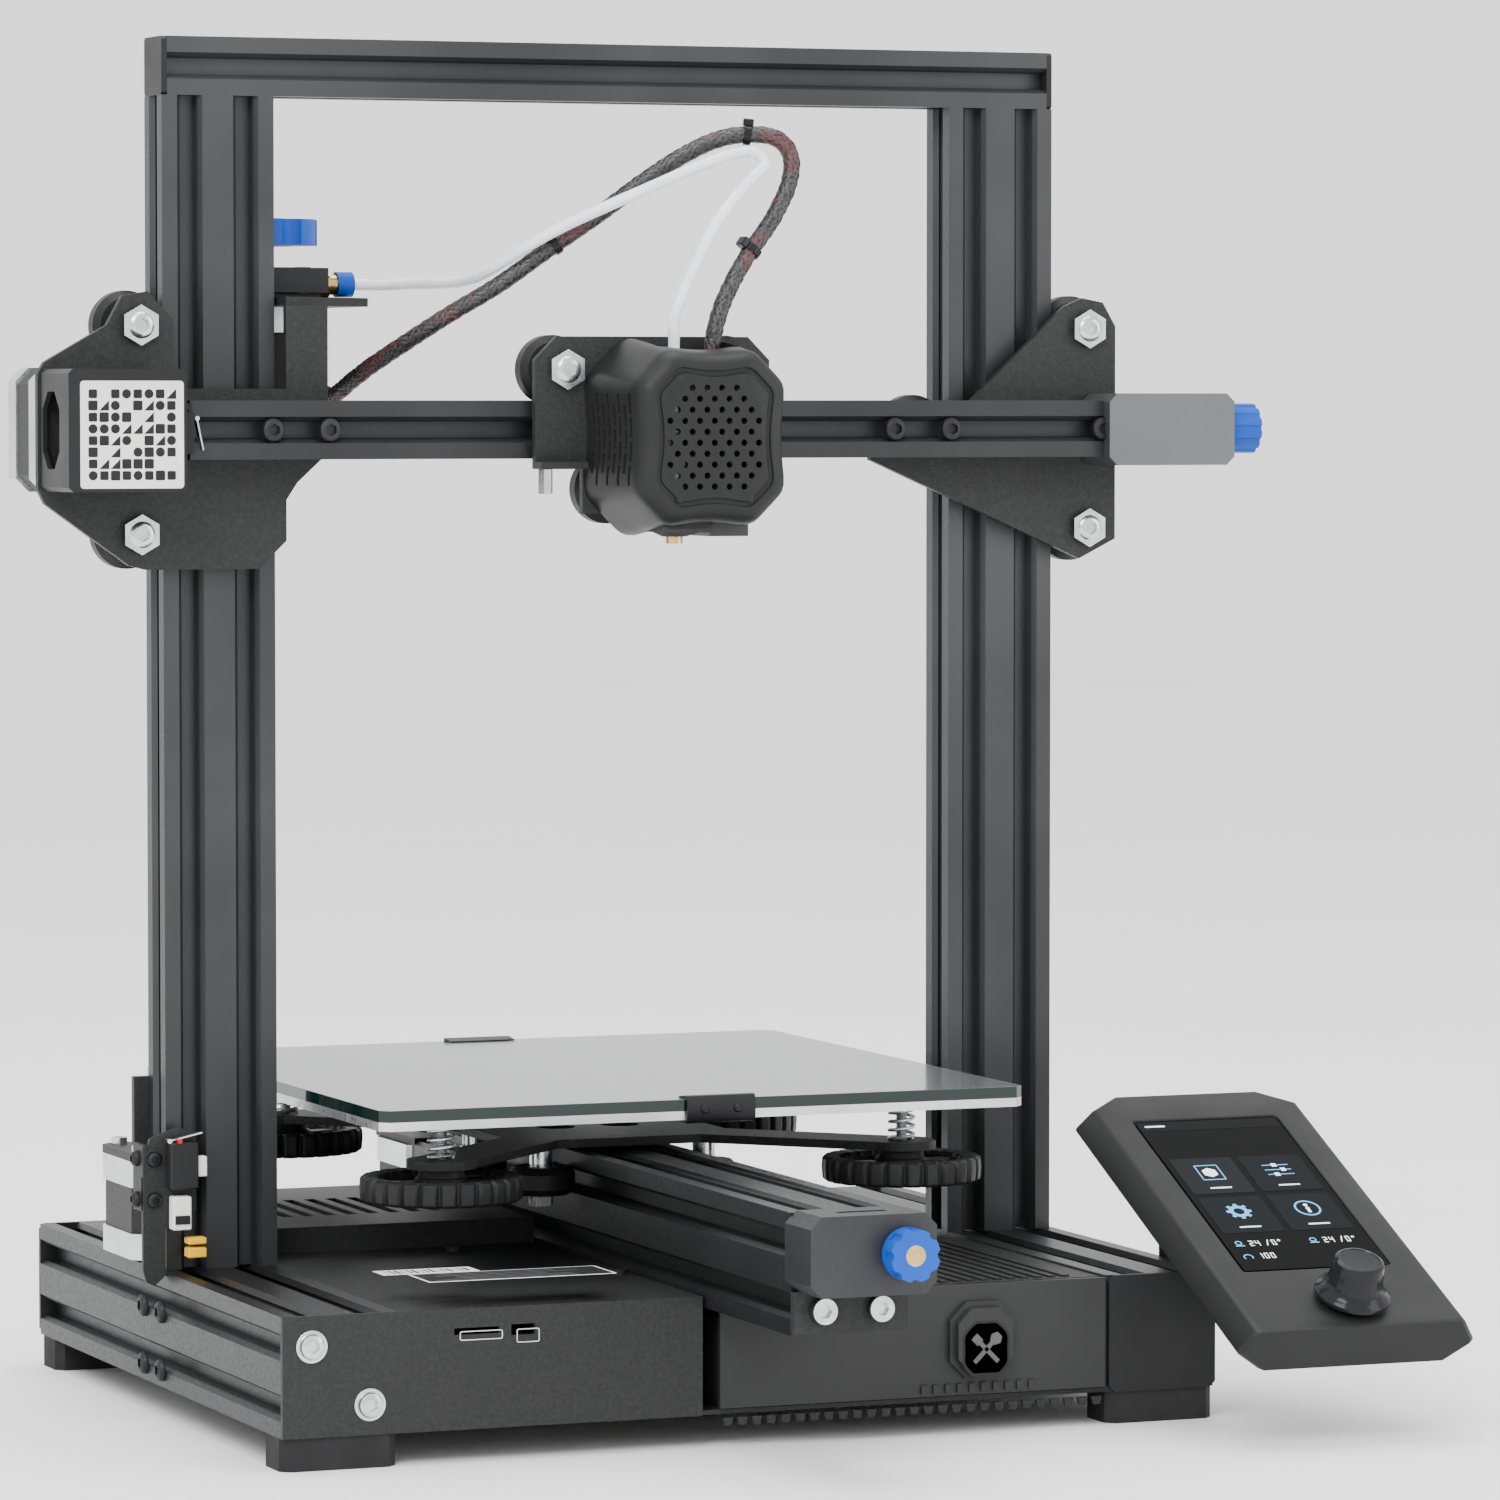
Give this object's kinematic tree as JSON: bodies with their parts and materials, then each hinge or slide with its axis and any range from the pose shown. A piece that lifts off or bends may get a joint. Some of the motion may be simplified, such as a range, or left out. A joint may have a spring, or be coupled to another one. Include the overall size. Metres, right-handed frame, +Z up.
{
  "type": "fdm printer",
  "caption": "Desktop filament 3D printer: extrusion frame, sliding heated glass bed, gantry with covered print head, sloping display and tool drawer.",
  "frame": {"origin": "on the surface it stands on, under the middle of the whole machine's box", "axes": "+X to the machine's right seen from the front, +Y to its back, +Z up"},
  "size_m": [0.4506, 0.4448, 0.473],
  "materials": {
    "extrusion_dark": "dark anodised, satin",
    "extrusion_grey": "grey anodised, satin",
    "black_plastic": "moulded, fine texture",
    "gloss_black": "glossy",
    "black_rubber": "matt",
    "belt_rubber": "matt",
    "black_sheet": "powder coated, fine texture",
    "black_metal": "anodised black",
    "black_steel": "black oxide",
    "motor_black": "black with bright ends",
    "grey_metal": "bead blasted",
    "aluminium": "machined",
    "bare_steel": "bright zinc",
    "brass": "polished",
    "board_green": "solder mask",
    "red_plastic": "glossy",
    "blue_plastic": "satin",
    "screen_glass": "glossy",
    "dark_glass": "coated glass, faint texture",
    "white_tube": "smooth, slightly see-through",
    "black_braid": "braided sleeve"
  },
  "bodies": {
    "frame": {"base_rails": "extrusion_dark", "cross_beam": "extrusion_dark", "y_rail": "extrusion_dark", "uprights": "extrusion_grey", "top_beam": "extrusion_dark", "end_caps": "black_plastic", "rubber_feet": "black_rubber", "electronics_case": "black_sheet", "electronics_lid": "black_sheet", "mainboard": "board_green", "power_supply": "bare_steel", "power_inlet": "black_plastic", "drawer_housing": "black_sheet", "display_case": "gloss_black", "display_screen": "screen_glass", "z_motor": "motor_black", "z_endstop": "black_sheet", "y_motor": "motor_black", "y_belt": "belt_rubber", "y_tensioner": "black_sheet", "frame_screws": "black_steel"},
    "bed": {"bed_carriage": "black_sheet", "bed_wheels": "black_plastic", "heated_bed": "aluminium", "glass_plate": "dark_glass", "bed_hardware": "bare_steel"},
    "gantry": {"x_beam": "extrusion_dark", "gantry_plates": "black_sheet", "gantry_wheels": "black_plastic", "x_motor": "motor_black", "x_motor_cover": "black_plastic", "x_belt": "belt_rubber", "x_tensioner": "grey_metal", "extruder_motor": "motor_black", "extruder_body": "black_metal", "gantry_harness": "black_braid"},
    "carriage": {"carriage_plate": "black_sheet", "carriage_wheels": "black_plastic", "hotend": "bare_steel", "fan_shroud": "black_plastic", "bowden_tube": "white_tube", "hotend_harness": "black_braid"},
    "drawer": {"drawer": "black_plastic"},
    "switch": {"power_switch": "red_plastic"},
    "encoder_shaft": {"encoder_shaft": "brass"},
    "encoder_knob": {"encoder_knob": "gloss_black"},
    "lead_screw": {"lead_screw": "bare_steel"},
    "z_lever": {"z_endstop_lever": "bare_steel"},
    "x_lever": {"x_endstop_lever": "bare_steel"},
    "y_pulley": {"y_pulley": "aluminium"},
    "x_pulley": {"x_pulley": "aluminium"},
    "y_tension_knob": {"y_tension_knob": "blue_plastic"},
    "x_tension_knob": {"x_tension_knob": "blue_plastic"},
    "feed_knob": {"extruder_knob": "blue_plastic"},
    "feed_arm": {"extruder_arm": "black_metal"},
    "fan": {"hotend_fan": "black_plastic"},
    "level_knob_front_left": {"bed_knob_front_left": "black_plastic"},
    "level_knob_front_right": {"bed_knob_front_right": "black_plastic"},
    "level_knob_rear_left": {"bed_knob_rear_left": "black_plastic"},
    "level_knob_rear_right": {"bed_knob_rear_right": "black_plastic"}
  },
  "joints": [
    {"name": "z_slide", "type": "slide", "parent": "frame", "child": "gantry", "axis": [0, 0, 1], "range_m": [-0.186, 0.05], "deforming": ["gantry_harness"]},
    {"name": "x_slide", "type": "slide", "parent": "gantry", "child": "carriage", "axis": [1, 0, 0], "range_m": [-0.11, 0.11], "deforming": ["hotend_harness", "bowden_tube"]},
    {"name": "y_slide", "type": "slide", "parent": "frame", "child": "bed", "axis": [0, 1, 0], "range_m": [-0.195, 0.025]},
    {"name": "drawer_slide", "type": "slide", "parent": "frame", "child": "drawer", "axis": [0, -1, 0], "range_m": [0, 0.095]},
    {"name": "screw_turn", "type": "hinge", "parent": "frame", "child": "lead_screw", "pos_m": [-0.16275, 0.05835, 0.2], "axis": [0, 0, 1], "continuous": true},
    {"name": "x_pulley_turn", "type": "hinge", "parent": "gantry", "child": "x_pulley", "pos_m": [-0.20375, -0.0009, 0.339], "axis": [0, 1, 0], "continuous": true},
    {"name": "y_pulley_turn", "type": "hinge", "parent": "frame", "child": "y_pulley", "pos_m": [-0.01275, 0.20125, 0.081], "axis": [0, 0, 1], "continuous": true},
    {"name": "z_lever_press", "type": "hinge", "parent": "frame", "child": "z_lever", "pos_m": [-0.18075, 0.0079, 0.0966], "axis": [0, 1, 0], "range_deg": [0, 8], "stiffness_Nm_per_rad": 0.004},
    {"name": "x_lever_press", "type": "hinge", "parent": "gantry", "child": "x_lever", "pos_m": [-0.17685, -0.0141, 0.343], "axis": [0, 1, 0], "range_deg": [0, 8], "stiffness_Nm_per_rad": 0.004},
    {"name": "y_tension_turn", "type": "hinge", "parent": "frame", "child": "y_tension_knob", "pos_m": [-0.00175, -0.2179, 0.075], "axis": [0, -1, 0], "range_deg": [-360, 360]},
    {"name": "x_tension_turn", "type": "hinge", "parent": "gantry", "child": "x_tension_knob", "pos_m": [0.21675, -0.0029, 0.339], "axis": [1, 0, 0], "range_deg": [-360, 360]},
    {"name": "feed_turn", "type": "hinge", "parent": "gantry", "child": "feed_knob", "pos_m": [-0.13375, 0.06435, 0.4045], "axis": [0, 0, 1], "continuous": true},
    {"name": "feed_arm_release", "type": "hinge", "parent": "gantry", "child": "feed_arm", "pos_m": [-0.14975, 0.04905, 0.3895], "axis": [0, 0, -1], "range_deg": [0, 8], "stiffness_Nm_per_rad": 2, "springref_deg": -11.46},
    {"name": "fan_spin", "type": "hinge", "parent": "carriage", "child": "fan", "pos_m": [-0.00625, -0.0509, 0.336], "axis": [0, -1, 0], "continuous": true},
    {"name": "dial_press", "type": "slide", "parent": "frame", "child": "encoder_shaft", "axis": [0, 0.4289, -0.9033], "range_m": [0, 0.0015], "stiffness_N_per_m": 600},
    {"name": "dial_turn", "type": "hinge", "parent": "encoder_shaft", "child": "encoder_knob", "pos_m": [0.17425, -0.18543, 0.0548], "axis": [0, -0.4289, 0.9033], "continuous": true},
    {"name": "power_rocker", "type": "hinge", "parent": "frame", "child": "switch", "pos_m": [-0.06725, 0.1601, 0.031], "axis": [1, 0, 0], "range_deg": [0, 14]},
    {"name": "level_front_left", "type": "hinge", "parent": "bed", "child": "level_knob_front_left", "pos_m": [-0.09775, -0.0369, 0.0835], "axis": [0, 0, 1], "range_deg": [-360, 360]},
    {"name": "level_front_right", "type": "hinge", "parent": "bed", "child": "level_knob_front_right", "pos_m": [0.07225, -0.0369, 0.0835], "axis": [0, 0, 1], "range_deg": [-360, 360]},
    {"name": "level_rear_left", "type": "hinge", "parent": "bed", "child": "level_knob_rear_left", "pos_m": [-0.09775, 0.1331, 0.0835], "axis": [0, 0, 1], "range_deg": [-360, 360]},
    {"name": "level_rear_right", "type": "hinge", "parent": "bed", "child": "level_knob_rear_right", "pos_m": [0.07225, 0.1331, 0.0835], "axis": [0, 0, 1], "range_deg": [-360, 360]}
  ],
  "couplings": [
    {"joint": "screw_turn", "follows": "z_slide", "rad_per_m": -785.4},
    {"joint": "x_pulley_turn", "follows": "x_slide", "rad_per_m": 156.25},
    {"joint": "y_pulley_turn", "follows": "y_slide", "rad_per_m": 100}
  ]
}
